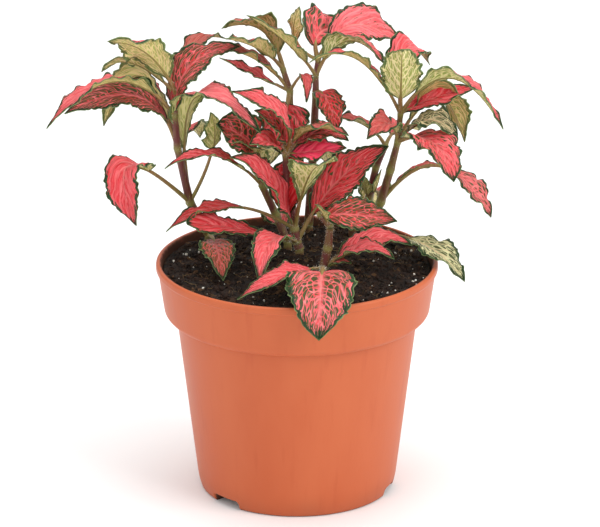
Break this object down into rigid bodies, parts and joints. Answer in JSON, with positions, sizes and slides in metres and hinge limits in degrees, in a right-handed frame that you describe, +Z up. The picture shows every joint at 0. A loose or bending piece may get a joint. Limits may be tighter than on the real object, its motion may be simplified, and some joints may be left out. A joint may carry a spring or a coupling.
{
  "type": "potted nerve plant",
  "caption": "Nerve plant with red-veined waved leaves on branching stems, growing in soil in a round tapered nursery pot with a deep rim band.",
  "frame": {"origin": "middle of the pot's underside, on the surface that the pot stands on", "axes": "+Z up along the pot's axis, +X to the right and +Y away from the viewer, who faces the side with the leaf that hangs over the rim"},
  "size_m": [0.1925, 0.1433, 0.2072],
  "materials": {
    "pot_plastic": "moulded terracotta-coloured plastic with a soft sheen",
    "potting_soil": "dark moist peat with white perlite grains",
    "nerve_plant": "satin living leaf, red network of veins over dark green with a green margin"
  },
  "bodies": {
    "root": {"pot": "pot_plastic", "soil": "potting_soil", "stem_left": "nerve_plant", "stem_left_inner": "nerve_plant", "stem_centre": "nerve_plant", "stem_back_left": "nerve_plant", "stem_back_right": "nerve_plant", "stem_right": "nerve_plant", "stem_right_inner": "nerve_plant", "stem_front": "nerve_plant"}
  },
  "joints": []
}
